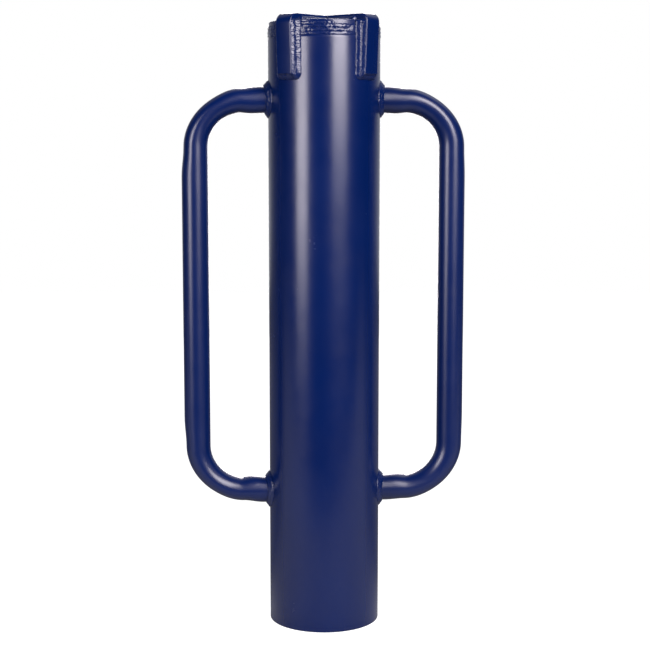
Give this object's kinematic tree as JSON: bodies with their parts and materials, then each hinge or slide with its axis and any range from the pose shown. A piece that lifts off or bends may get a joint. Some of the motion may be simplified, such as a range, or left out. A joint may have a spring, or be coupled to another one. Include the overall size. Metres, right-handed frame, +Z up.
{
  "type": "post driver",
  "caption": "Hand post driver: a heavy capped steel tube, open below, with a long D-handle welded to each side, lifted and dropped over a fence post to drive it.",
  "frame": {"origin": "centre of the barrel's open bottom rim", "axes": "+Z up along the barrel, X across the two handles, front is -Y"},
  "size_m": [0.292, 0.1158, 0.628],
  "materials": {
    "barrel_coat": "satin navy powder coat on drawn steel tube",
    "cap_coat": "satin navy powder coat on sawn plate and flat bar",
    "handle_coat": "satin navy powder coat on bent steel tube",
    "weld_coat": "satin navy powder coat over rippled weld beads"
  },
  "bodies": {
    "root": {"barrel_tube": "barrel_coat", "strike_plate": "cap_coat", "cap_strap_long": "cap_coat", "cap_strap_front": "cap_coat", "cap_strap_rear": "cap_coat", "left_handle": "handle_coat", "right_handle": "handle_coat", "cap_ring_weld": "weld_coat", "front_left_leg_weld": "weld_coat", "front_right_leg_weld": "weld_coat", "rear_left_leg_weld": "weld_coat", "rear_right_leg_weld": "weld_coat", "front_top_weld": "weld_coat", "rear_top_weld": "weld_coat", "left_top_weld": "weld_coat", "right_top_weld": "weld_coat", "left_upper_handle_weld": "weld_coat", "left_lower_handle_weld": "weld_coat", "right_upper_handle_weld": "weld_coat", "right_lower_handle_weld": "weld_coat"}
  },
  "joints": []
}
